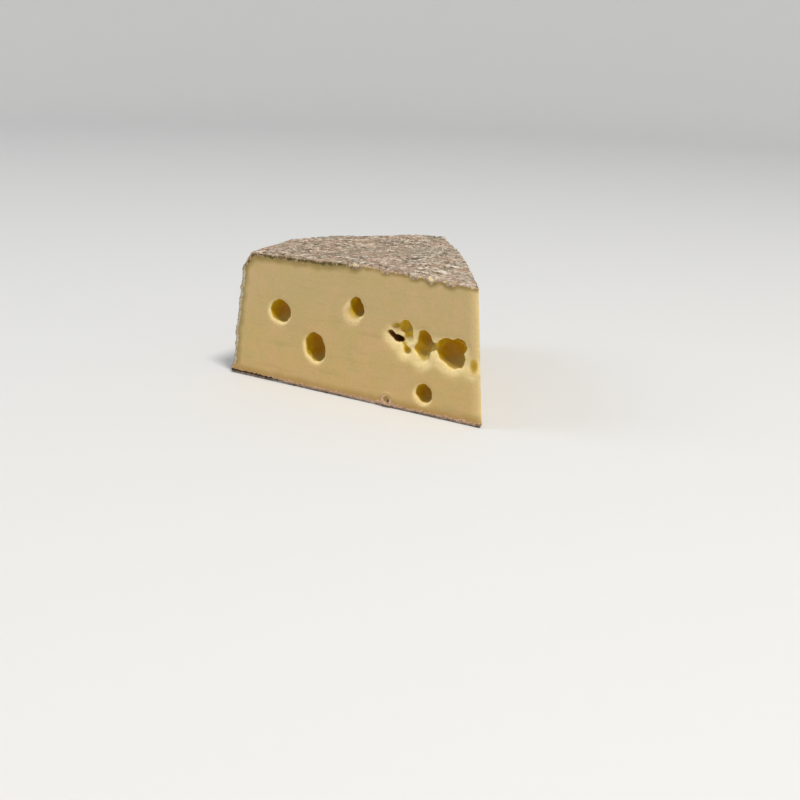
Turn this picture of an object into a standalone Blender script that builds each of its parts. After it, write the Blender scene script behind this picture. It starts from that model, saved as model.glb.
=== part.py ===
"""A wedge cut from a small farmhouse tomme cheese, modelled as one solid.

Metres, +Z up. The base is flat on Z = 0 and the origin is the centre of the base's bounding box. The main cut
face looks along -Y, the thin end of the wedge points along +X, and the rind's curved side closes the wedge at
the back.

The wedge is made as the real one is: a whole wheel is turned, a knife cuts it twice, and the eyes open in the
paste. Until the last step everything is placed from the tip, the lowest point of the edge where the two cuts
meet.
"""

import bmesh
import bpy
from math import cos, exp, pi, radians, sin
from mathutils import Matrix, Vector, noise

MM = 0.001

# The whole wheel that the wedge comes from
WHEEL_HEIGHT = 51.0 * MM
WHEEL_CENTRE = Vector((-20.7 * MM, 11.1 * MM, 0.0))
WALL_FOOT_RADIUS = 97.1 * MM
WALL_LEAN = 0.134                      # how much the wall draws in for each unit of height
FOOT_FLARE = 1.7 * MM                  # the soft cheese spreads where it stood
FOOT_FLARE_HEIGHT = 2.5 * MM
FOOT_ROUNDING = 1.0 * MM
SHOULDER_WIDTH = 4.5 * MM
SHOULDER_DROP = 13.0 * MM
SHOULDER_POWER = 1.7                   # 2 would be an ellipse; less makes the edge crisper

# The old wheel isn't level: its top swells over the shown cut's middle, along the second cut and at the back.
# Each swell is given by its middle from the tip's foot, its height and its reach, in millimetres.
TOP_SWELLS = (
    dict(x=-54.0, y=0.0, height=1.9, reach=28.0),
    dict(x=-20.0, y=44.0, height=3.2, reach=34.0),
    dict(x=-100.0, y=35.0, height=1.7, reach=30.0),
)

# The two knife cuts
WEDGE_ANGLE = radians(52.9)
TIP_LEAN = 4.2 * MM                    # how far the tip's top edge stands back from its foot
KNIFE_REACH = 200.0 * MM
KNIFE_OVERSHOOT = 10.0 * MM            # how far the cuts run past the base and the top

# The rind's relief
LUMP_SIZE = 17.0 * MM
LUMP_HEIGHT = 0.55 * MM
RIDGE_THICKNESS = 2.875 * MM           # ridges that the draining cloth and the shelf leave round the side
RIDGE_LENGTH = 8.75 * MM
RIDGE_HEIGHT = 1.0 * MM
RIDGE_END = 2.0 * MM                   # they stop this far under the top
GRAIN_SIZE = 5.0 * MM
GRAIN_HEIGHT = 0.3 * MM
GRAIN_SHIFT = Vector((7.0, 3.0, 5.0))  # keeps the grain from following the lumps
BASE_KEPT_FLAT = 0.5 * MM              # the relief starts above this
RELIEF_FULL = 5.0 * MM                 # and has its whole height from here up

# How finely the wheel is turned
TURN_STEPS = 160
SIDE_STEP = 2.3 * MM
SHOULDER_STEPS = 7
FLAT_STEP = 4.6 * MM
CROWDED_RADIUS = 55.0 * MM             # nearer the axis than this, neighbours on the top are merged
CROWDED_SPACING = 2.2 * MM

# Eyes on the shown cut: distance from the tip's edge, height, half width, half height, half depth, how far
# the centre lies inside the face, and the tilt of the long axis. Lengths in millimetres, the tilt in degrees.
SHOWN_EYES = (
    dict(name="far_left", along=89.9, height=29.4, half=(5.2, 4.7, 5.2), sink=1.6, tilt=-10),
    dict(name="low_left", along=73.7, height=17.5, half=(4.9, 6.2, 6.0), sink=2.2, tilt=-16),
    dict(name="upper_scoop", along=55.1, height=34.0, half=(3.9, 4.4, 2.6), sink=-1.2, tilt=-14),
    dict(name="upper_hole", along=53.0, height=36.3, half=(3.3, 4.0, 5.0), sink=1.8, tilt=-14),
    dict(name="low_right", along=24.7, height=8.2, half=(3.7, 3.8, 4.6), sink=1.6, tilt=-20),
    dict(name="cluster_top", along=31.3, height=32.0, half=(3.0, 2.9, 3.4), sink=0.4, tilt=0),
    dict(name="cluster_ear", along=35.4, height=32.1, half=(2.3, 1.3, 2.0), sink=-0.2, tilt=-10),
    dict(name="cluster_neck", along=30.8, height=28.9, half=(2.0, 2.7, 2.6), sink=0.2, tilt=10),
    dict(name="cluster_slit", along=37.5, height=28.3, half=(2.5, 1.1, 4.6), sink=0.9, tilt=28),
    dict(name="cluster_deep", along=35.3, height=27.2, half=(2.1, 1.7, 6.8), sink=2.6, tilt=10),
    dict(name="cluster_channel", along=32.8, height=25.9, half=(1.2, 2.2, 1.9), sink=0.1, tilt=-20),
    dict(name="cluster_pit", along=31.7, height=23.5, half=(1.9, 1.7, 2.6), sink=0.4, tilt=0),
    dict(name="middle_eye", along=23.7, height=28.3, half=(3.3, 4.0, 5.2), sink=1.4, tilt=-4),
    dict(name="middle_low", along=25.0, height=24.4, half=(3.6, 2.9, 4.2), sink=0.7, tilt=12),
    dict(name="middle_lobe", along=20.4, height=26.3, half=(2.6, 1.7, 3.2), sink=0.2, tilt=-24),
    dict(name="middle_dish", along=24.2, height=21.6, half=(3.0, 2.1, 2.2), sink=-0.7, tilt=-8),
    dict(name="large_eye", along=12.9, height=25.2, half=(6.7, 4.9, 6.2), sink=1.6, tilt=36),
    dict(name="large_sub_eye", along=9.1, height=28.6, half=(3.3, 2.9, 4.4), sink=1.4, tilt=-10),
    dict(name="tip_dish", along=3.0, height=22.2, half=(1.7, 2.8, 1.6), sink=-0.4, tilt=6),
)

# Eyes on the second cut, given in the same way
SECOND_EYES = (
    dict(name="second_low", along=30.5, height=16.5, half=(5.2, 4.8, 5.4), sink=1.6, tilt=12),
    dict(name="second_high", along=46.0, height=35.0, half=(4.2, 4.4, 4.8), sink=1.4, tilt=-10),
    dict(name="second_large", along=66.5, height=21.5, half=(6.4, 5.6, 6.2), sink=1.8, tilt=18),
    dict(name="second_twin", along=72.6, height=25.2, half=(4.0, 3.8, 4.6), sink=0.9, tilt=0),
    dict(name="second_small", along=18.5, height=34.5, half=(2.8, 3.0, 3.2), sink=0.8, tilt=0),
    dict(name="second_far", along=88.0, height=35.5, half=(3.8, 3.4, 4.0), sink=1.0, tilt=-20),
)
EYE_UNEVENNESS = 0.07
EYE_BUMPS = 1.3                        # bumps across half an eye
EYE_EDGE = 1.75                        # length of an eye's edges, in millimetres
EYE_LEAST_SEGMENTS = 12

# Crumbs that the knife left along the rind's upper edge: distance from the tip's edge and half length
CRUMBS = (
    dict(along=52.6, half=1.6),
    dict(along=39.2, half=1.2),
    dict(along=26.7, half=1.1),
    dict(along=19.5, half=1.5),
    dict(along=11.6, half=1.4),
)
CRUMB_SHAPE = (1.0, 0.55, 0.5)         # along the edge, out of the cut and up, as shares of the half length
CRUMB_UNEVENNESS = 0.35
CRUMB_LUMP = 1.1 * MM
CRUMB_SINK = 0.2 * MM                  # how far a crumb's centre lies inside the cut
CRUMB_DROP = 0.7 * MM                  # and under the top edge

SLIVER = 0.01 * MM                     # corners closer than this are merged
SHARP_ANGLE = radians(25)              # edges that fold more than this are drawn sharp
PASTE_COLOUR = (0.56, 0.41, 0.18, 1.0)
PASTE_ROUGHNESS = 0.45
RIND_COLOUR = (0.40, 0.32, 0.24, 1.0)
RIND_ROUGHNESS = 0.9
RIND_THICKNESS = 1.3 * MM              # faces nearer to the skin than this are painted as rind


def clear_scene():
    for old in list(bpy.data.objects):
        bpy.data.objects.remove(old, do_unlink=True)


def make_material(name, colour, roughness):
    material = bpy.data.materials.new(name)
    material.use_nodes = True
    shader = material.node_tree.nodes["Principled BSDF"]
    shader.inputs["Base Color"].default_value = colour
    shader.inputs["Roughness"].default_value = roughness
    shader.inputs["Metallic"].default_value = 0.0
    return material


def make_object(name, mesh_builder, collection=None):
    """Turns a filled bmesh into a named object of outward triangles, which a Boolean cuts cleanly."""
    bmesh.ops.triangulate(mesh_builder, faces=mesh_builder.faces)
    bmesh.ops.recalc_face_normals(mesh_builder, faces=mesh_builder.faces)
    mesh = bpy.data.meshes.new(name)
    mesh_builder.to_mesh(mesh)
    mesh_builder.free()
    made = bpy.data.objects.new(name, mesh)
    (collection or bpy.context.scene.collection).objects.link(made)
    return made


def tip_edge(height):
    """Point at a height on the edge where the two cuts meet. The edge leans back from the tip's foot."""
    return Vector((-TIP_LEAN * height / WHEEL_HEIGHT, 0.0, height))


def wall_radius(height):
    """Radius of the wheel's side at a height: a leaning wall, a spread foot and a rounded shoulder."""
    radius = WALL_FOOT_RADIUS - WALL_LEAN * height + FOOT_FLARE * exp(-height / FOOT_FLARE_HEIGHT)
    climbed = min(max(0.0, height - WHEEL_HEIGHT + SHOULDER_DROP) / SHOULDER_DROP, 1.0)
    return radius - SHOULDER_WIDTH * (1 - (1 - climbed**SHOULDER_POWER) ** (1 / SHOULDER_POWER))


def wheel_profile():
    """Half section of the wheel, from the axis along the base, up the side and back to the axis."""
    points = [(0.0, 0.0), (wall_radius(0.0) - FOOT_ROUNDING, 0.0)]
    points.append((wall_radius(FOOT_ROUNDING), FOOT_ROUNDING))
    shoulder_start = WHEEL_HEIGHT - SHOULDER_DROP
    steps = round((shoulder_start - FOOT_ROUNDING) / SIDE_STEP)
    for i in range(1, steps + 1):
        height = FOOT_ROUNDING + (shoulder_start - FOOT_ROUNDING) * i / steps
        points.append((wall_radius(height), height))
    for i in range(1, SHOULDER_STEPS + 1):
        height = shoulder_start + SHOULDER_DROP * sin(0.5 * pi * i / SHOULDER_STEPS)
        points.append((wall_radius(height), height))
    top_radius = points[-1][0]
    top_steps = round(top_radius / FLAT_STEP)
    points += [(top_radius * (1 - i / top_steps), WHEEL_HEIGHT) for i in range(1, top_steps + 1)]
    return points


def rind_relief(point):
    """Height of the rind's relief at a point of the skin: broad lumps, ridges round the side, and grain."""
    lumps = noise.noise(point / LUMP_SIZE)
    grain = noise.noise(point / GRAIN_SIZE + GRAIN_SHIFT)
    relief = LUMP_HEIGHT * lumps + GRAIN_HEIGHT * grain
    if point.z < WHEEL_HEIGHT - RIDGE_END:
        ridge_place = Vector((point.x / RIDGE_LENGTH, point.y / RIDGE_LENGTH, point.z / RIDGE_THICKNESS))
        relief += RIDGE_HEIGHT * noise.noise(ridge_place)
    return relief


def uneven_top(point):
    """How much higher than a level wheel's the top lies over a point."""
    lift = 0.0
    for swell in TOP_SWELLS:
        away = (point.to_2d() - Vector((swell["x"], swell["y"])) * MM).length
        lift += swell["height"] * MM * exp(-((away / (swell["reach"] * MM)) ** 2))
    return lift


def turn_wheel():
    """The whole wheel, turned from its half section, with the rind's relief pushed along the normals."""
    turned = bmesh.new()
    ring = [turned.verts.new((radius, 0.0, height)) for radius, height in wheel_profile()]
    edges = [turned.edges.new(pair) for pair in zip(ring, ring[1:])]
    bmesh.ops.spin(
        turned,
        geom=ring + edges,
        cent=(0, 0, 0),
        axis=(0, 0, 1),
        angle=2 * pi,
        steps=TURN_STEPS,
        use_merge=True,
        use_duplicate=False,
    )
    bmesh.ops.remove_doubles(turned, verts=turned.verts, dist=SLIVER)
    crowded = [v for v in turned.verts if v.co.z > 0 and v.co.to_2d().length < CROWDED_RADIUS]
    bmesh.ops.remove_doubles(turned, verts=crowded, dist=CROWDED_SPACING)
    bmesh.ops.translate(turned, verts=turned.verts, vec=WHEEL_CENTRE)
    bmesh.ops.recalc_face_normals(turned, faces=turned.faces)
    turned.normal_update()
    for vert in turned.verts:
        if vert.co.z > BASE_KEPT_FLAT:
            fade = min(1.0, vert.co.z / RELIEF_FULL)
            lift = uneven_top(vert.co) * vert.co.z / WHEEL_HEIGHT
            vert.co += vert.normal * rind_relief(vert.co) * fade
            vert.co.z += lift
    return make_object("tomme_wedge", turned)


def knife_wedge():
    """The space between the two knife cuts."""
    space = bmesh.new()
    away = Vector((-cos(WEDGE_ANGLE), sin(WEDGE_ANGLE), 0.0)) * KNIFE_REACH
    rings = []
    for height in (-KNIFE_OVERSHOOT, WHEEL_HEIGHT + KNIFE_OVERSHOOT):
        tip = tip_edge(height)
        far_corner = Vector((-KNIFE_REACH, KNIFE_REACH, height))
        shown_end = Vector((-KNIFE_REACH, 0.0, height))
        rings.append([space.verts.new(corner) for corner in (tip, tip + away, far_corner, shown_end)])
    low, high = rings
    space.faces.new(low)
    space.faces.new(high)
    for i in range(4):
        space.faces.new((low[i], low[i - 1], high[i - 1], high[i]))
    return make_object("knife_wedge", space)


def face_place(eye, along_face, into_paste):
    """Matrix that puts an eye's own axes (along the face, into the paste, up) in its place on a cut face."""
    start = tip_edge(eye["height"] * MM)
    centre = start + along_face * eye["along"] * MM + into_paste * eye["sink"] * MM
    axes = Matrix((-along_face, into_paste, Vector((0, 0, 1)))).transposed()
    turn = Matrix.Rotation(radians(eye["tilt"]), 3, "Y")
    return Matrix.Translation(centre) @ (axes @ turn).to_4x4()


def make_eye(eye, along_face, into_paste):
    """One gas hole: an ellipsoid whose wall is slightly uneven."""
    bubble = bmesh.new()
    segments = max(EYE_LEAST_SEGMENTS, round(2 * pi * max(eye["half"]) / EYE_EDGE))
    bmesh.ops.create_uvsphere(bubble, u_segments=segments, v_segments=segments // 2 + 1, radius=1.0)
    half_width, half_height, half_depth = (size * MM for size in eye["half"])
    own_noise = Vector((eye["along"], eye["height"], 0.0))
    for vert in bubble.verts:
        uneven = 1.0 + EYE_UNEVENNESS * noise.noise(vert.co * EYE_BUMPS + own_noise)
        vert.co = Vector((vert.co.x * half_width, vert.co.y * half_depth, vert.co.z * half_height)) * uneven
    bubble.transform(face_place(eye, along_face, into_paste))
    return make_object("eye_" + eye["name"], bubble)


def make_crumb(crumb, number, collection):
    """A torn crumb of rind on the upper edge of the shown cut."""
    lump = bmesh.new()
    bmesh.ops.create_icosphere(lump, subdivisions=1, radius=crumb["half"] * MM)
    for vert in lump.verts:
        vert.co *= 1.0 + CRUMB_UNEVENNESS * noise.noise(vert.co / CRUMB_LUMP + Vector((number, 0.0, 0.0)))
    place = tip_edge(WHEEL_HEIGHT) + Vector((-crumb["along"] * MM, CRUMB_SINK, -CRUMB_DROP))
    place.z += uneven_top(place)
    lump.transform(Matrix.Translation(place) @ Matrix.Diagonal((*CRUMB_SHAPE, 1.0)))
    return make_object(f"crumb_{number}", lump, collection)


def apply_boolean(target, operation, operand):
    """Cuts, keeps or joins with one object or a collection, applies it and removes what it used."""
    step = target.modifiers.new(operation.lower(), "BOOLEAN")
    step.operation = operation
    step.solver = "EXACT"
    if isinstance(operand, bpy.types.Collection):
        step.operand_type = "COLLECTION"
        step.collection = operand
        used = list(operand.objects)
    else:
        step.object = operand
        used = [operand]
    bpy.context.view_layer.update()
    result = bpy.data.meshes.new_from_object(target.evaluated_get(bpy.context.evaluated_depsgraph_get()))
    target.modifiers.clear()
    target.data = result
    for other in used:
        bpy.data.objects.remove(other, do_unlink=True)


def new_collection(name):
    made = bpy.data.collections.new(name)
    bpy.context.scene.collection.children.link(made)
    return made


def open_eyes(wedge):
    """Opens the gas holes of both cut faces. Neighbours overlap, so they are joined into one cutter first."""
    shown_along = Vector((-1.0, 0.0, 0.0))
    shown_inward = Vector((0.0, 1.0, 0.0))
    second_along = Vector((-cos(WEDGE_ANGLE), sin(WEDGE_ANGLE), 0.0))
    second_inward = Vector((-sin(WEDGE_ANGLE), -cos(WEDGE_ANGLE), 0.0))
    eyes = [make_eye(eye, shown_along, shown_inward) for eye in SHOWN_EYES]
    eyes += [make_eye(eye, second_along, second_inward) for eye in SECOND_EYES]
    cutter = eyes[0]
    for eye in eyes[1:]:
        apply_boolean(cutter, "UNION", eye)
    apply_boolean(wedge, "DIFFERENCE", cutter)


def add_crumbs(wedge):
    crumbs = new_collection("crumbs")
    for number, crumb in enumerate(CRUMBS):
        make_crumb(crumb, number, crumbs)
    apply_boolean(wedge, "UNION", crumbs)


def tidy_mesh(wedge):
    """Merges slivers, makes triangles and stands the wedge on the centre of its base."""
    mesh = bmesh.new()
    mesh.from_mesh(wedge.data)
    bmesh.ops.remove_doubles(mesh, verts=mesh.verts, dist=SLIVER)
    bmesh.ops.triangulate(mesh, faces=mesh.faces)
    corners = [vert.co for vert in mesh.verts]
    middle_x = (min(c.x for c in corners) + max(c.x for c in corners)) / 2
    middle_y = (min(c.y for c in corners) + max(c.y for c in corners)) / 2
    lowest = min(c.z for c in corners)
    bmesh.ops.translate(mesh, verts=mesh.verts, vec=(-middle_x, -middle_y, -lowest))
    mesh.to_mesh(wedge.data)
    mesh.free()
    return Vector((middle_x, middle_y, lowest))


def paint(wedge, moved):
    """Rind on the base, the top and the curved side, paste on the cuts and in the eyes."""
    wedge.data.materials.clear()
    wedge.data.materials.append(make_material("paste", PASTE_COLOUR, PASTE_ROUGHNESS))
    wedge.data.materials.append(make_material("rind", RIND_COLOUR, RIND_ROUGHNESS))
    for polygon in wedge.data.polygons:
        place = polygon.center + moved
        from_axis = (place - WHEEL_CENTRE).to_2d().length
        on_base = place.z < SLIVER
        on_top = place.z > WHEEL_HEIGHT + uneven_top(place) - RIND_THICKNESS
        on_side = from_axis > wall_radius(place.z) - RIND_THICKNESS
        polygon.material_index = 1 if on_base or on_top or on_side else 0


def main():
    clear_scene()
    wedge = turn_wheel()
    apply_boolean(wedge, "INTERSECT", knife_wedge())
    open_eyes(wedge)
    add_crumbs(wedge)
    moved = tidy_mesh(wedge)
    paint(wedge, moved)
    wedge.data.shade_smooth()
    wedge.data.set_sharp_from_angle(angle=SHARP_ANGLE)


main()
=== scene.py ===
import bmesh
import bpy
import numpy as np
from math import cos, radians, sin
from mathutils import Matrix, Vector, noise
from mathutils.bvhtree import BVHTree


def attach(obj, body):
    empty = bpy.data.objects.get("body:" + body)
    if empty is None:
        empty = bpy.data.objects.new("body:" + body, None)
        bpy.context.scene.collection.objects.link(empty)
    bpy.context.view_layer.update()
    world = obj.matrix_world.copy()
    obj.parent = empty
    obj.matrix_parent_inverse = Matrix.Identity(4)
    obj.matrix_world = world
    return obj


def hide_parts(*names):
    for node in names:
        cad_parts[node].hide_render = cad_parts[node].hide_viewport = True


# Dresses the solid wedge of tomme as the real cheese looks, and sets it on a pale floor.
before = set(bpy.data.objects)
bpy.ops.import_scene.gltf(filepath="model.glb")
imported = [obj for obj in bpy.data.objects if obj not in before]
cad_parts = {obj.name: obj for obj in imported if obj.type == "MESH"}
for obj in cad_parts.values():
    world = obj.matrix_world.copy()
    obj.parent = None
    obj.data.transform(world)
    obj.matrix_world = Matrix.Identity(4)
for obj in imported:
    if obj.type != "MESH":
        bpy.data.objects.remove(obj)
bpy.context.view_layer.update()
scene = bpy.context.scene
mm = 0.001
sliver = 0.001 * mm                      # corners closer than this are merged
onFloor = 0.1 * mm                       # corners lower than this stand on the floor
onCut = 0.03 * mm                        # faces nearer than this to a cut, or to the floor, lie on it


# What the shader graphs are written with. A wire is one socket's output.
class Wire:
    def __init__(self, tree, socket):
        self.tree = tree
        self.socket = socket

    def node(self, kind, settings=None, inputs=None, output=0):
        made = self.tree.nodes.new(kind)
        for name, value in (settings or {}).items():
            setattr(made, name, value)
        for name, value in (inputs or {}).items():
            if isinstance(value, Wire):
                self.tree.links.new(value.socket, made.inputs[name])
            else:
                made.inputs[name].default_value = value
        return Wire(self.tree, made.outputs[output])

    def combine(self, operation, first, second):
        kinds = {each.socket.type for each in (first, second) if isinstance(each, Wire)}
        if "RGBA" in kinds:
            settings = {"data_type": "RGBA", "blend_type": operation}
            return self.node("ShaderNodeMix", settings, {0: 1.0, 6: first, 7: second}, 2)
        if "VECTOR" in kinds:
            def asVector(each):
                return each if isinstance(each, (Wire, tuple)) else (each, each, each)
            inputs = {0: asVector(first), 1: asVector(second)}
            return self.node("ShaderNodeVectorMath", {"operation": operation}, inputs)
        return self.node("ShaderNodeMath", {"operation": operation}, {0: first, 1: second})

    def __add__(self, other):
        return self.combine("ADD", self, other)

    def __radd__(self, other):
        return self.combine("ADD", other, self)

    def __sub__(self, other):
        return self.combine("SUBTRACT", self, other)

    def __rsub__(self, other):
        return self.combine("SUBTRACT", other, self)

    def __mul__(self, other):
        return self.combine("MULTIPLY", self, other)

    def __rmul__(self, other):
        return self.combine("MULTIPLY", other, self)

    def absolute(self):
        return self.node("ShaderNodeMath", {"operation": "ABSOLUTE"}, {0: self})

    def raised(self, power):
        return self.node("ShaderNodeMath", {"operation": "POWER"}, {0: self, 1: power})


def srgb(red, green, blue):
    # a colour as a picture editor gives it, from 0 to 255, in the linear values that shaders use
    def linear(value):
        value = value / 255
        return value / 12.92 if value <= 0.04045 else ((value + 0.055) / 1.055) ** 2.4
    return (linear(red), linear(green), linear(blue), 1.0)


def smoothStep(low, high, value):
    part = np.clip((value - low) / (high - low), 0.0, 1.0)
    return part * part * (3 - 2 * part)


# The wedge's own mesh: the solid remeshed finely, its eyes' rims softened and torn, its rind roughened.
# Lengths are in mm, and places are counted from the foot of the tip: along is negative.
wedgeForm = {
    "voxel": 0.63,                       # a finer one gives more than 200,000 triangles
    "rimPasses": 4,                      # smoothing passes at the rims of the eyes
    "rimReach": 1.1,                     # how far from an eye the paste is softened
    "rimLean": (0.5, 0.0, 1.0),          # the rims are softer on their lower left, where the knife dragged; the painted highlight of the lit rims leans there too
    "rimTear": 0.22,                     # how uneven a lone eye's rim is
    "groupTear": 0.28,                   # and a rim in the group of eyes near the tip
    "tearSize": 1.7,
    "dishDepth": 0.22,                   # the paste sinks a little round a lone eye
    "dishReach": 2.4,
    "groupAlong": (-46.0, -2.0),         # the group lies in a wider hollow
    "groupHeights": (13.0, 36.0),
    "groupDepth": 0.95,
    "groupReach": 5.2,
    "haloPasses": 14,                    # smoothing passes for the painted highlight round the group, and for the hollow there
    "highlightReach": 3.0,
    "ringReach": 1.4,                    # the painted highlight ring round a lone eye
    "eyeReach": 8.0,                     # eyes and rind are measured no farther than this
    "rindReach": 12.0,
    "rindThickness": {"base": 1.7, "side": 1.5, "top": 1.8},
    "shoulder": (45.0, 49.0),            # heights between which the side turns into the top
    "thinTop": 1.0,                      # the top's rind is thinner towards the tip
    "thinTopAlong": (-70.0, -52.0),      # and thins between these places
    "footDrop": 0.45,                    # the base's edge is worn back this much, and unevenly
    "upperEdge": (44.0, 47.0),           # heights from which torn crumbs stand at the rind's cut edge
    "crumbsFrom": -64.0,                 # they lie between here and the tip
    "crumbsAbove": 40.0,                 # and what stands out of a cut higher than this is one too
    "crumbHeight": 0.15,
    "foldPlace": (-41.2, 2.9),           # where the base's rind folded up
    "foldRadius": 2.3,
    "foldHeight": 0.8,
    "foldSlitDepth": 1.0,
    "slitPlace": (-39.0, 27.9),          # the darkest hole of the group, painted dark as shade
    "slitRadius": 3.4,
    # patches of colour on the shown cut: the middle, and the half width and half height
    "patches": {
        "tipDish": {"place": (-4.9, 22.4), "size": (2.3, 3.9)},      # the shallow amber dish beside the tip
        "olivePatch": {"place": (-37.2, 32.0), "size": (4.6, 2.4)},       # olive, beside the group's upper hole
        "torn": {"place": (-33.2, 26.6), "size": (2.6, 2.2)},        # torn pale paste between two holes
        "dimmerHighlight": {"place": (-60.2, 31.2), "size": (6.5, 6.5)},        # the painted highlight ring under the upper eye is weaker
    },
    # what roughens the surface: how high and how wide the bumps are, and a seed that sets them apart
    "bumps": {
        "crust": {"height": 0.24, "size": 1.5, "seed": 3.0},         # dried mould on the rind
        "lumps": {"height": 0.22, "size": 5.2, "seed": 9.0},
        "grain": {"height": 0.12, "size": 1.0, "seed": 5.0},
        "section": {"height": 0.16, "size": 1.3, "seed": 12.0},      # the rind where the knife cut it
        "crumbs": {"height": 1.1, "size": 1.0, "seed": 25.0},
        "ripples": {"height": 0.05, "size": 7.0, "seed": 30.0},      # long and faint, in the cut paste
        "eyeWalls": {"height": 0.22, "size": 1.6, "seed": 33.0},
        "foot": {"height": 1.3, "size": 2.4, "seed": 44.0},          # as a share of the foot's drop
    },
}


def findTip(corners):
    # the foot of the edge where the two cuts meet
    return max((co for co in corners if co.z < onFloor), key=lambda co: co.x).copy()


def sortFaces(solid, form):
    # which faces of the solid are skin and which are eye walls, and where the two cuts lie
    source = bmesh.new()
    source.from_mesh(solid)
    bmesh.ops.remove_doubles(source, verts=source.verts, dist=sliver)
    source.verts.index_update()
    corners = [v.co.copy() for v in source.verts]
    tip = findTip(corners)
    tipTop = max((co for co in corners if co.z > form["shoulder"][0] * mm), key=lambda co: co.x)
    backFoot = max((co for co in corners if co.z < onFloor), key=lambda co: co.y)
    firstInward = Vector((0.0, 1.0, 0.0))
    secondInward = (tipTop - tip).cross(backFoot - tip).normalized()
    if secondInward.x > 0:
        secondInward.negate()

    def onPlane(face, inward):
        return all(abs((v.co - tip).dot(inward)) < onCut for v in face.verts)

    base = {f for f in source.faces if all(v.co.z < onCut for v in f.verts)}
    for face in source.faces:
        face.tag = face in base or onPlane(face, firstInward) or onPlane(face, secondInward)
    start = max((f for f in source.faces if not f.tag), key=lambda f: f.calc_center_median().z)
    skin = {start}
    waiting = [start]
    while waiting:
        for edge in waiting.pop().edges:
            for other in edge.link_faces:
                if not other.tag and other not in skin:
                    skin.add(other)
                    waiting.append(other)
    # crumbs stand out of the cut, so they are skin and not walls of eyes
    others = {f for f in source.faces if not f.tag} - skin
    crumbs = {f for f in others if (f.calc_center_median() - tip).dot(firstInward) < -onCut}

    def tree(faces):
        return BVHTree.FromPolygons(corners, [[v.index for v in f.verts] for f in faces])

    found = {
        "tip": tip, "firstInward": firstInward, "secondInward": secondInward,
        "skin": tree(skin | crumbs), "base": tree(base), "walls": tree(others - crumbs),
    }
    source.free()
    return found


def smoothed(values, edges, weights, passes):
    # draws each point's values towards those of its neighbours, as far as its weight says
    count = np.zeros(len(values))
    np.add.at(count, edges[:, 0], 1)
    np.add.at(count, edges[:, 1], 1)
    for _ in range(passes):
        total = np.zeros_like(values)
        np.add.at(total, edges[:, 0], values[edges[:, 1]])
        np.add.at(total, edges[:, 1], values[edges[:, 0]])
        middle = total / count[:, None]
        values = values + (middle - values) * (0.5 * weights)[:, None]
    return values


def noiseAt(points, size, seed=0.0):
    shift = Vector((seed, seed * 1.7, seed * 0.6))
    return np.array([noise.noise(Vector(p) / size + shift) for p in points])


def shareInGroup(local, form):
    # 1 in the group of eyes near the tip of the shown cut, 0 away from it
    start, end = form["groupAlong"]
    low, high = form["groupHeights"]
    share = smoothStep(start, start + 4, local[:, 0]) * smoothStep(end + 4, end, local[:, 0])
    share *= smoothStep(low, low + 4, local[:, 2]) * smoothStep(high, high - 8, local[:, 2])
    return share * smoothStep(8.0, 4.0, local[:, 1])


def sinkRoundEyes(fields, form):
    # how far each point sinks into its cut, in mm: most at an eye's rim, nothing at the tip
    reach = form["dishReach"] + (form["groupReach"] - form["dishReach"]) * fields["group"]
    sink = form["dishDepth"] + (form["groupDepth"] - form["dishDepth"]) * fields["group"]
    share = np.maximum(1 - fields["haloDistance"] / reach, 0.0) ** 2
    share = share * smoothStep(3.5, 0.0, fields["depth"]) * smoothStep(0.5, 5.0, fields["otherDepth"])
    return sink * share


def tearRims(local, fields, form):
    # moves the rims of the eyes unevenly, along the cut and a little in and out
    near = smoothStep(2.2, 0.3, fields["fromEye"]) * smoothStep(4.5, 1.0, fields["depth"])
    near *= smoothStep(0.5, 3.0, fields["otherDepth"])
    height = form["rimTear"] + (form["groupTear"] - form["rimTear"]) * fields["group"]
    size = form["tearSize"]
    shift = [noiseAt(local, size, 70.0), 0.6 * noiseAt(local, size, 80.0), noiseAt(local, size, 90.0)]
    return local + np.stack(shift, 1) * (2.0 * near * height)[:, None]


def foldShares(local, form):
    # 1 on the ring of the little fold at the foot of the shown cut, and 1 in the slit in its middle
    aside = local[:, 0] - form["foldPlace"][0]
    above = local[:, 2] - form["foldPlace"][1]
    shown = local[:, 1] < 2.5
    ringAway = (np.hypot(aside, above) / form["foldRadius"] - 0.8) / 0.3
    slitAway = np.hypot((aside - 0.5) / 0.45, (above + 0.5) / 0.9)
    return np.exp(-ringAway ** 2) * shown, np.exp(-slitAway ** 2) * shown


def patchShare(local, patch, onFirst):
    # 1 in the middle of an oval patch on the shown cut, 0 at its edge
    aside = (local[:, 0] - patch["place"][0]) / patch["size"][0]
    above = (local[:, 2] - patch["place"][1]) / patch["size"][1]
    return smoothStep(1.0, 0.45, np.hypot(aside, above)) * onFirst * (local[:, 1] < 3)


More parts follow.
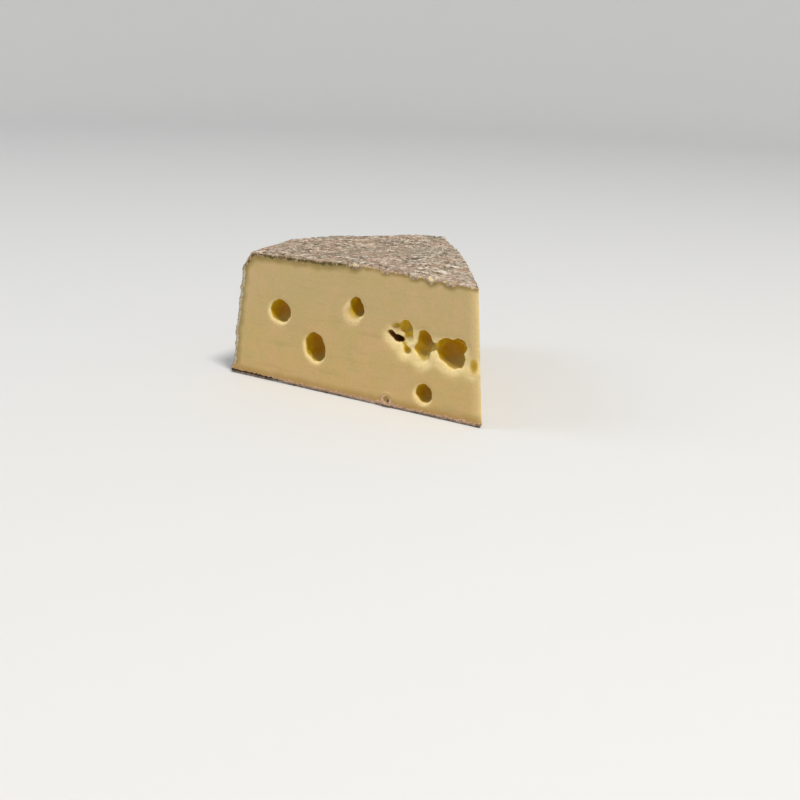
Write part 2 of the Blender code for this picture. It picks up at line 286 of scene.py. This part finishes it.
def reliefOf(local, fields, form):
    # how far to push each point outwards, in mm
    def unevenness(name, stretch=(1.0, 1.0, 1.0)):
        return noiseAt(local * np.array(stretch), form["bumps"][name]["size"], form["bumps"][name]["seed"])

    def bumps(name, stretch=(1.0, 1.0, 1.0)):
        return form["bumps"][name]["height"] * unevenness(name, stretch)

    skinShare = fields["skinShare"]
    crust = smoothStep(-0.12, 0.30, unevenness("crust")) - 0.4
    height = (form["bumps"]["crust"]["height"] * crust + bumps("lumps") + bumps("grain")) * skinShare
    section = (1 - skinShare) * smoothStep(1.3, 0.7, fields["rindDepth"])
    height += section * (bumps("section") + 0.04)
    height += fields["crumb"] * (form["crumbHeight"] + bumps("crumbs"))
    paste = (1 - skinShare) * (1 - section)
    height += paste * bumps("ripples", stretch=(0.4, 0.4, 1.0))
    height += paste * smoothStep(0.3, 1.5, fields["eyeDepth"]) * bumps("eyeWalls")
    footDropAndShade = form["footDrop"] * (0.6 + bumps("foot"))
    height -= smoothStep(0.9, 0.2, local[:, 2]) * np.maximum(footDropAndShade, 0.1)
    return height + fields["fold"] * form["foldHeight"] - fields["foldMiddle"] * form["foldSlitDepth"]


def measureWedge(local, parts, form):
    # what the shape and the material need to know at each point; lengths in mm
    def distances(name, reach, points):
        found = [parts[name].find_nearest(Vector(p) * mm + parts["tip"], reach * mm)[3] for p in points]
        return np.array([reach if length is None else length / mm for length in found])

    along = local[:, 0]
    height = local[:, 2]
    fromWalls = distances("walls", form["eyeReach"], local)
    fromSkin = distances("skin", form["rindReach"], local)
    fromBase = distances("base", form["rindReach"], local)
    first = local @ np.array(parts["firstInward"])
    second = local @ np.array(parts["secondInward"])
    depth = np.minimum(first, second)
    onFirst = first < second

    sideEnd, topStart = form["shoulder"]
    thick = form["rindThickness"]
    topThick = thick["top"] + (form["thinTop"] - thick["top"]) * smoothStep(*form["thinTopAlong"], along)
    skinThick = topThick + (thick["side"] - topThick) * smoothStep(topStart, sideEnd, height)
    rindDepth = np.minimum(fromSkin / skinThick, fromBase / thick["base"])
    skinShare = smoothStep(0.75, 0.25, np.minimum(fromSkin, fromBase))

    atTopEdge = (1 - skinShare) * smoothStep(*form["upperEdge"], height) * smoothStep(2.2, 1.2, rindDepth)
    crumbly = smoothStep(0.12, 0.34, noiseAt(local * np.array((1.0, 1.0, 0.5)), 1.9, 21.0))
    crumbly *= smoothStep(form["crumbsFrom"] - 6, form["crumbsFrom"] + 6, along)
    standsOut = smoothStep(0.05, 0.35, -depth) * (height > form["crumbsAbove"])

    ring, middle = foldShares(local, form)
    slitAlong, slitHeight = form["slitPlace"]
    fromSlit = np.hypot((along - slitAlong) * 0.8, height - slitHeight) / form["slitRadius"]
    fields = {name: patchShare(local, patch, onFirst) for name, patch in form["patches"].items()}
    fields.update({
        "onFirst": onFirst, "depth": depth, "otherDepth": np.maximum(first, second),
        "fromEye": fromWalls,
        "underEye": distances("walls", form["eyeReach"], local + np.array(form["rimLean"])),
        "eyeDepth": np.where(fromWalls < 0.6, np.clip(depth, 0.0, form["eyeReach"]), 0.0),
        "group": shareInGroup(local, form),
        "skinShare": skinShare, "rindDepth": rindDepth * (1 - 0.8 * np.maximum(ring, middle)),
        "crumb": np.maximum(atTopEdge * crumbly, standsOut),
        "fold": ring, "foldMiddle": middle,
        "slitShade": smoothStep(1.0, 0.55, fromSlit) * (local[:, 1] < 12),
    })
    print("wedge measured")
    return fields


def remeshed(solid, voxel):
    # a copy of the solid in small even faces, as an object of its own
    wedge = bpy.data.objects.new("tommeCheeseWedge", solid.data.copy())
    scene.collection.objects.link(wedge)
    wedge.modifiers.new("welded", "WELD").merge_threshold = sliver
    remesh = wedge.modifiers.new("fine", "REMESH")
    remesh.mode = "VOXEL"
    remesh.voxel_size = voxel
    remesh.use_smooth_shade = True
    bpy.context.view_layer.update()
    fine = bpy.data.meshes.new_from_object(wedge.evaluated_get(bpy.context.evaluated_depsgraph_get()))
    wedge.modifiers.clear()
    wedge.data = fine
    fine.name = "tommeCheeseWedge"
    triangles = sum(len(p.vertices) - 2 for p in fine.polygons)
    print("wedge remeshed:", len(fine.vertices), "points,", triangles, "triangles")
    return wedge


def makeWedge(form):
    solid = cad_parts["tomme_wedge"]
    parts = sortFaces(solid.data, form)
    wedge = remeshed(solid, form["voxel"] * mm)
    fine = wedge.data
    tip = np.array(parts["tip"])
    count = len(fine.vertices)
    points = np.empty(count * 3)
    fine.vertices.foreach_get("co", points)
    local = (points.reshape(-1, 3) - tip) / mm
    edges = np.empty(len(fine.edges) * 2, dtype=np.int64)
    fine.edges.foreach_get("vertices", edges)
    edges = edges.reshape(-1, 2)
    fields = measureWedge(local, parts, form)

    # the painted highlight of the lit rims: one smooth field round the whole group, and a ring round each
    # lone eye
    group = fields["group"]
    underEye = fields["underEye"]
    even = smoothed(underEye[:, None], edges, np.ones(count), form["haloPasses"])[:, 0]
    fields["haloDistance"] = underEye + (even - underEye) * group
    ring = smoothStep(form["ringReach"], 0.1, (underEye + fields["fromEye"]) / 2)
    paintedRimHighlight = ring + (smoothStep(form["highlightReach"], 0.4, even) - ring) * group
    fields["paintedRimHighlight"] = paintedRimHighlight * (1 - 0.55 * fields["dimmerHighlight"])

    inward = np.where(fields["onFirst"][:, None], parts["firstInward"], parts["secondInward"])
    shaped = tearRims(local, fields, form) + inward * sinkRoundEyes(fields, form)[:, None]
    weights = smoothStep(form["rimReach"], 0.3, underEye) * (1 - 0.5 * group)
    local = smoothed(shaped, edges, weights, form["rimPasses"])

    def place(shape):
        fine.vertices.foreach_set("co", (shape * mm + tip).ravel())
        fine.update()

    place(local)
    facing = np.empty(count * 3)
    fine.vertices.foreach_get("normal", facing)
    facing = facing.reshape(-1, 3)
    height = np.where(facing[:, 2] < -0.7, 0.0, reliefOf(local, fields, form))
    local = local + facing * height[:, None]
    local[:, 2] = np.maximum(local[:, 2], 0.0)
    place(local)

    fields["crust"] = height * fields["skinShare"]
    # walls facing up and to the left get painted sky light
    fields["paintedWallLight"] = smoothStep(0.05, 0.7, facing[:, 2] * 0.85 - facing[:, 0] * 0.4)
    shown = ("rindDepth", "skinShare", "eyeDepth", "paintedRimHighlight", "olivePatch", "torn", "crumb", "fold",
             "foldMiddle", "tipDish", "slitShade", "crust", "paintedWallLight")
    for name in shown:
        attribute = fine.attributes.new(name, "FLOAT", "POINT")
        attribute.data.foreach_set("value", fields[name].astype(np.float32))
    fine.shade_smooth()
    print("wedge shaped")
    return wedge


cheeseLook = {
    "pasteLow": srgb(206, 176, 116),
    "pasteHigh": srgb(199, 175, 124),
    "pastePink": srgb(213, 176, 130),      # faint warm and green clouds in the paste
    "pasteGreen": srgb(196, 174, 114),
    "pasteTip": srgb(226, 202, 146),       # light comes through the thin edge
    "ripeHigh": srgb(140, 118, 60),        # the paste darkens towards the rind: olive at the top,
    "ripeSide": srgb(154, 132, 82),
    "ripeLow": srgb(180, 142, 78),         # gold at the base
    # pale cream: the painted highlight on the eyes' lit rims, and the torn paste
    "rim": srgb(246, 224, 166),
    "olivePatch": srgb(158, 124, 52),
    "eyeWall": srgb(200, 162, 22),
    # the eyes' walls deeper in are darker, as painted shade
    "eyeDeepShade": srgb(186, 134, 6),
    # painted sky light on the eyes' walls that face up and to the left
    "eyeWallPaintedLight": srgb(188, 167, 102),
    "eyeFleck": srgb(150, 78, 12),         # rusty specks on one wall of the largest eye
    # painted shade in the darkest hole of the group
    "slitShade": srgb(124, 74, 30),
    "rindTan": srgb(182, 156, 135),
    "rindGrey": srgb(156, 145, 126),
    "rindPale": srgb(234, 222, 204),
    "rindBrown": srgb(84, 67, 52),
    "edgeMould": srgb(84, 76, 36),         # dark mould under the top, on its far half
    "edgeTan": srgb(204, 174, 144),
    "edgeGrey": srgb(196, 186, 158),       # up the side
    "edgePink": srgb(214, 178, 148),       # at the base
    "edgeBrown": srgb(128, 96, 66),
    "edgeDark": srgb(52, 34, 22),          # painted contact shadow along the base's foot, painted shade in the fold's slit, and dark specks on the top's rind
    "crumb": srgb(240, 220, 160),
    # where the colours change, in mm from the foot of the tip: along is negative
    "tipLean": 0.084,                      # how far the tip's edge leans back for each unit of height
    "tipGlow": 5.5,
    "ripeLowUpTo": (2.0, 6.0),
    "ripeHighFrom": (38.0, 46.0),
    "baseBandUpTo": (3.0, 5.0),
    "topBandFrom": (43.0, 46.0),
    "mouldAlong": (-62.0, -54.0),
    "footShadeAlong": (-104.0, -78.0),      # the painted contact shadow at the base's foot is thicker towards the curved side
    "fleckPlace": (-11.9, 29.6),
    "fleckReach": (2.0, 3.6),
    # how wide the clouds of colour are, in mm
    "pasteClouds": {"height": 16.0, "pink": 8.0, "green": 7.0, "streak": 2.6, "fine": 1.0, "speck": 1.4},
    "rindClouds": {"tint": 10.0, "patch": 13.0, "mottle": 2.6, "fleck": 1.1, "grain": 0.5, "crack": 5.0},
    "rindStretch": (0.7, 1.0, 1.0),        # the rind's marks are longer along the shown cut
    # the finish
    "pasteRoughness": 0.45,
    "pasteSpecular": 0.22,
    "pasteSoftness": 0.4,                  # light goes into the paste, the red farthest
    "pasteSoftRadius": (1.0, 0.62, 0.25),
    "pasteSoftScale": 0.003,
    "pasteBump": (0.35, 0.0002),           # strength, and height in metres
    "rindRoughness": 0.88,
    "rindSpecular": 0.2,
    "rindBump": (0.9, 0.0006),
}


def cheeseMaterial(look, tip):
    material = bpy.data.materials.new("tommeCheese")
    material.use_nodes = True
    tree = material.node_tree
    tree.nodes.clear()
    graph = Wire(tree, None)

    def value(name):
        return graph.node("ShaderNodeAttribute", {"attribute_name": name}, output="Fac")

    def mixed(share, first, second):
        return graph.node("ShaderNodeMix", {"data_type": "RGBA"}, {0: share, 6: first, 7: second}, 2)

    def step(low, high, what):
        inputs = {"Value": what, "From Min": low, "From Max": high}
        return graph.node("ShaderNodeMapRange", {"interpolation_type": "SMOOTHSTEP"}, inputs)

    place = (graph.node("ShaderNodeTexCoord", output="Object") - tuple(tip)) * (1 / mm)
    along = graph.node("ShaderNodeSeparateXYZ", None, {0: place}, "X")
    height = graph.node("ShaderNodeSeparateXYZ", None, {0: place}, "Z")

    def cloud(size, detail=2.0, rough=0.5, stretch=(1.0, 1.0, 1.0), shift=0.0):
        inputs = {"Vector": place * stretch + (shift, shift, shift), "Scale": 1 / size, "Detail": detail,
                  "Roughness": rough}
        return graph.node("ShaderNodeTexNoise", None, inputs, "Fac")

    rindDepth = value("rindDepth")
    skinShare = value("skinShare")
    eyeDepth = value("eyeDepth")
    sizes = look["pasteClouds"]

    # paste: faint clouds, lighter at the tip, ripe under the rind
    high = step(6.0, 46.0, height + (cloud(sizes["height"]) - 0.5) * 40.0)
    paste = mixed(high, look["pasteLow"], look["pasteHigh"])
    pink = step(0.46, 0.64, cloud(sizes["pink"], 3.0, 0.6, shift=61.0))
    paste = mixed(pink * 0.45, paste, look["pastePink"])
    green = step(0.46, 0.64, cloud(sizes["green"], 3.0, 0.6, shift=83.0))
    paste = mixed(green * 0.6, paste, look["pasteGreen"])
    fromTipEdge = along * -1.0 - height * look["tipLean"]
    paste = mixed(step(look["tipGlow"], 0.5, fromTipEdge) * 0.7, paste, look["pasteTip"])
    ripe = mixed(step(*look["ripeLowUpTo"], height), look["ripeLow"], look["ripeSide"])
    ripe = mixed(step(*look["ripeHighFrom"], height), ripe, look["ripeHigh"])
    paste = mixed(step(3.0, 0.9, rindDepth + (cloud(5.0, shift=40.0) - 0.5) * 1.4) * 0.85, paste, ripe)

    # the painted highlights on the eyes' lit rims, and the eyes' walls
    paste = mixed(value("paintedRimHighlight") * 0.8, paste, look["rim"])
    paste = mixed(value("olivePatch") * 0.65, paste, look["olivePatch"])
    inside = step(0.5, 1.4, eyeDepth)
    # deeper in an eye the wall turns darker, as painted shade
    deepShade = step(2.5, 6.0, eyeDepth + (cloud(2.4, shift=71.0) - 0.5) * 5.0)
    wall = mixed(deepShade, look["eyeWall"], look["eyeDeepShade"])
    aside = along - look["fleckPlace"][0]
    above = height - look["fleckPlace"][1]
    fleckEnd, fleckFade = look["fleckReach"]
    nearFlecks = step(fleckFade, fleckEnd, (aside * aside + above * above).raised(0.5))
    wall = mixed(nearFlecks * step(0.56, 0.62, cloud(1.1, 2.0, shift=50.0)), wall, look["eyeFleck"])
    # painted sky light on the walls that face up and to the left
    wall = mixed(value("paintedWallLight") * 0.7, wall, look["eyeWallPaintedLight"])
    paste = mixed(inside, paste, wall)
    paste = mixed(value("tipDish") * 0.85, paste, look["eyeWall"])
    # painted shade in the darkest hole
    paste = mixed(value("slitShade") * step(0.2, 1.0, eyeDepth), paste, look["slitShade"])
    paste = mixed(value("torn") * 0.8, paste, look["rim"])
    streak = cloud(sizes["streak"], 3.0, 0.6, stretch=(0.12, 0.12, 1.0), shift=211.0)
    paste = mixed(step(0.46, 0.30, streak) * 0.16, paste, look["ripeSide"])
    fine = step(0.46, 0.68, cloud(sizes["fine"], 4.0, 0.7, shift=151.0))
    paste = mixed(fine * (1 - inside) * 0.18, paste, look["ripeSide"])
    speck = step(0.68, 0.75, cloud(sizes["speck"], 3.0, 0.6, shift=11.0))
    paste = mixed(speck * (1 - inside) * 0.4, paste, look["ripeSide"])

    # rind: tan and grey, with pale bloom where it stands high and brown where it is bare
    sizes = look["rindClouds"]
    stretch = look["rindStretch"]
    mottle = cloud(sizes["mottle"], 5.0, 0.68, stretch, shift=17.0)
    flecks = cloud(sizes["fleck"], 4.0, 0.72, stretch, shift=47.0)
    grain = cloud(sizes["grain"], 2.0, 0.6, shift=29.0)
    rough = mottle * 0.5 + flecks * 0.5
    tint = step(0.42, 0.60, cloud(sizes["tint"], 5.0, 0.7, shift=3.0))
    rind = mixed(tint, look["rindTan"], look["rindGrey"])
    patchy = step(0.38, 0.62, cloud(sizes["patch"], 3.0, shift=191.0)) * 0.5 + 0.5
    bloom = step(0.515, 0.56, rough + value("crust") * 0.15)
    rind = mixed(bloom * patchy * 0.9, rind, look["rindPale"])
    bare = step(0.485, 0.44, rough)
    rind = mixed(bare * patchy * 0.9, rind, look["rindBrown"])
    fromCrack = (cloud(sizes["crack"], 4.0, 0.6, stretch, shift=131.0) - 0.5).absolute()
    cracks = step(0.03, 0.008, fromCrack)
    rind = mixed(cracks * step(0.44, 0.56, mottle) * 0.6, rind, look["rindBrown"])
    rind = mixed(step(0.52, 0.30, grain) * 0.3, rind, look["rindBrown"])

    # the rind in section, along the cuts' edges
    blotch = cloud(1.3, 3.0, 0.6, shift=5.0)
    speckle = cloud(0.7, 3.0, 0.7, shift=105.0)
    atBase = mixed(step(0.46, 0.58, speckle) * 0.8, look["edgePink"], look["edgeBrown"])
    # painted contact shadow: a thin uneven dark line along the base's foot
    shadeFull, shadeStart = look["footShadeAlong"]
    footDropAndShade = step(shadeStart, shadeFull, along) * 1.2
    atBase = mixed(step(0.50, 0.20, height - footDropAndShade + (blotch - 0.5) * 2.2), atBase, look["edgeDark"])
    upSide = mixed(step(0.50, 0.66, blotch) * 0.6, look["edgeGrey"], look["edgeBrown"])
    mouldFull, mouldEnd = look["mouldAlong"]
    mouldy = step(mouldEnd, mouldFull, along + (blotch - 0.5) * 30.0) * step(0.25, 0.5, rindDepth)
    atTop = mixed(step(0.46, 0.64, blotch) * 0.8, look["edgeTan"], look["edgeBrown"])
    atTop = mixed(step(0.50, 0.60, speckle) * 0.7, atTop, look["edgeDark"])
    atTop = mixed(mouldy * step(0.36, 0.56, cloud(1.6, 3.0, 0.65, shift=93.0)), atTop, look["edgeMould"])
    baseEnd, sideStart = look["baseBandUpTo"]
    section = mixed(step(sideStart, baseEnd, height), upSide, atBase)
    section = mixed(step(*look["topBandFrom"], height), section, atTop)
    section = mixed(value("fold"), section, look["edgePink"])
    # the fold's slit is painted dark, as painted shade
    section = mixed(value("foldMiddle") * 0.8, section, look["edgeDark"])
    rind = mixed(skinShare, section, rind)
    rind = mixed(value("crumb"), rind, mixed(step(0.45, 0.58, blotch), look["crumb"], look["edgeTan"]))

    def bump(amount, relief):
        inputs = {"Strength": amount[0], "Distance": amount[1], "Height": relief}
        return graph.node("ShaderNodeBump", None, inputs, "Normal")

    pasteShader = graph.node("ShaderNodeBsdfPrincipled", None, {
        "Base Color": paste,
        "Roughness": look["pasteRoughness"] + (cloud(2.0, shift=8.0) - 0.5) * 0.2,
        "Normal": bump(look["pasteBump"], cloud(1.2, 3.0, 0.55, stretch=(0.5, 0.5, 1.0))),
        "Specular IOR Level": look["pasteSpecular"],
        "Subsurface Weight": look["pasteSoftness"],
        "Subsurface Radius": look["pasteSoftRadius"],
        "Subsurface Scale": look["pasteSoftScale"],
    })
    rindShader = graph.node("ShaderNodeBsdfPrincipled", None, {
        "Base Color": rind,
        "Roughness": look["rindRoughness"] + (grain - 0.5) * 0.15,
        "Normal": bump(look["rindBump"], mottle * 0.8 + flecks * 0.6 + grain * 0.4),
        "Specular IOR Level": look["rindSpecular"],
    })
    ragged = rindDepth + (cloud(1.1, 3.0, 0.6, shift=60.0) - 0.5) * 1.6
    shaders = {0: step(1.15, 0.85, ragged), 1: pasteShader, 2: rindShader}
    shader = graph.node("ShaderNodeMixShader", None, shaders)
    output = tree.nodes.new("ShaderNodeOutputMaterial")
    tree.links.new(shader.socket, output.inputs["Surface"])
    return material


stageLook = {
    "flat": 1.2, "bend": 0.5, "wall": 0.4,     # radius of the floor, and of its bend, and the wall's height
    "bendSteps": 12,
    "turnSteps": 96,
    "drop": 0.0002,                            # keeps the floor just under the wedge
    "colour": (0.74, 0.74, 0.74, 1.0),
    "roughness": 0.8,
}


def makeStage(look):
    # a round pale floor that curves up into a wall, so that no horizon shows
    profile = [(0.0, 0.0), (look["flat"], 0.0)]
    for step in range(1, look["bendSteps"] + 1):
        angle = radians(90) * step / look["bendSteps"]
        profile.append((look["flat"] + look["bend"] * sin(angle), look["bend"] * (1 - cos(angle))))
    profile.append((look["flat"] + look["bend"], look["bend"] + look["wall"]))
    bowl = bmesh.new()
    ring = [bowl.verts.new((radius, 0.0, height)) for radius, height in profile]
    line = [bowl.edges.new(pair) for pair in zip(ring, ring[1:])]
    bmesh.ops.spin(bowl, geom=ring + line, axis=(0, 0, 1), angle=radians(360),
                   steps=look["turnSteps"], use_merge=True)
    bmesh.ops.remove_doubles(bowl, verts=bowl.verts, dist=0.1 * mm)
    mesh = bpy.data.meshes.new("paleStage")
    bowl.to_mesh(mesh)
    bowl.free()
    mesh.shade_smooth()
    stage = bpy.data.objects.new("paleStage", mesh)
    stage.location.z = -look["drop"]
    scene.collection.objects.link(stage)
    material = bpy.data.materials.new("paleStage")
    material.use_nodes = True
    shader = material.node_tree.nodes["Principled BSDF"]
    shader.inputs["Base Color"].default_value = look["colour"]
    shader.inputs["Roughness"].default_value = look["roughness"]
    mesh.materials.append(material)
    return stage


# The camera as it was found from the photograph, with its place in mm from the foot of the wedge's tip
cameraPlace = {
    "from": (188.3, -357.8, 138.4),
    "right": (0.8424, 0.5379, 0.0305),
    "up": (-0.188, 0.2405, 0.9523),
    "back": (0.5049, -0.808, 0.3038),
    "lens": 53.1,
    "sensor": 36.0,
}


def makeCamera(place, tip):
    camera = bpy.data.objects.new("camera", bpy.data.cameras.new("camera"))
    scene.collection.objects.link(camera)
    axes = [Vector(place[side]).normalized() for side in ("right", "up", "back")]
    turned = Matrix(axes).transposed().to_4x4()
    turned.translation = tip + Vector(place["from"]) * mm
    camera.matrix_world = turned
    camera.data.lens = place["lens"]
    camera.data.sensor_width = place["sensor"]
    camera.data.clip_start = 10 * mm
    scene.camera = camera


# Each lamp shines at the wedge's middle. Azimuth and elevation are in degrees: 0 in front, 90 right.
lighting = {
    "aim": (0.0, 0.0, 0.025),
    "lamps": {
        "key": {
            "azimuth": 62, "elevation": 60, "distance": 1.6, "size": 0.35, "power": 18.0,
            "colour": (1.0, 0.96, 0.89),
        },
        "left": {
            "azimuth": -58, "elevation": 36, "distance": 1.6, "size": 0.8, "power": 4.0,
            "colour": (0.88, 0.94, 1.0),
        },
    },
    "skyColour": (0.95, 0.975, 1.0, 1.0),
    "skyStrength": 0.43,
}


def makeLights(plan):
    middle = Matrix.Translation(plan["aim"])
    for name, light in plan["lamps"].items():
        lamp = bpy.data.objects.new(name + "Light", bpy.data.lights.new(name + "Light", "AREA"))
        scene.collection.objects.link(lamp)
        lamp.data.shape = "DISK"
        lamp.data.size = light["size"]
        lamp.data.energy = light["power"]
        lamp.data.color = light["colour"]
        turn = Matrix.Rotation(radians(light["azimuth"]), 4, "Z")
        tilt = Matrix.Rotation(radians(90 - light["elevation"]), 4, "X")
        lamp.matrix_world = middle @ turn @ tilt @ Matrix.Translation((0, 0, light["distance"]))
    world = bpy.data.worlds.new("paleSky")
    world.use_nodes = True
    background = world.node_tree.nodes["Background"]
    background.inputs["Color"].default_value = plan["skyColour"]
    background.inputs["Strength"].default_value = plan["skyStrength"]
    scene.world = world
    scene.view_settings.view_transform = "Standard"


tipFoot = findTip([v.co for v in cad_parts["tomme_wedge"].data.vertices])
makeCamera(cameraPlace, tipFoot)
wedge = makeWedge(wedgeForm)
wedge.data.materials.clear()
wedge.data.materials.append(cheeseMaterial(cheeseLook, tipFoot))
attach(wedge, "root")
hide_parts("tomme_wedge")
print("wedge dressed")

makeStage(stageLook)
makeLights(lighting)
print("stage set")
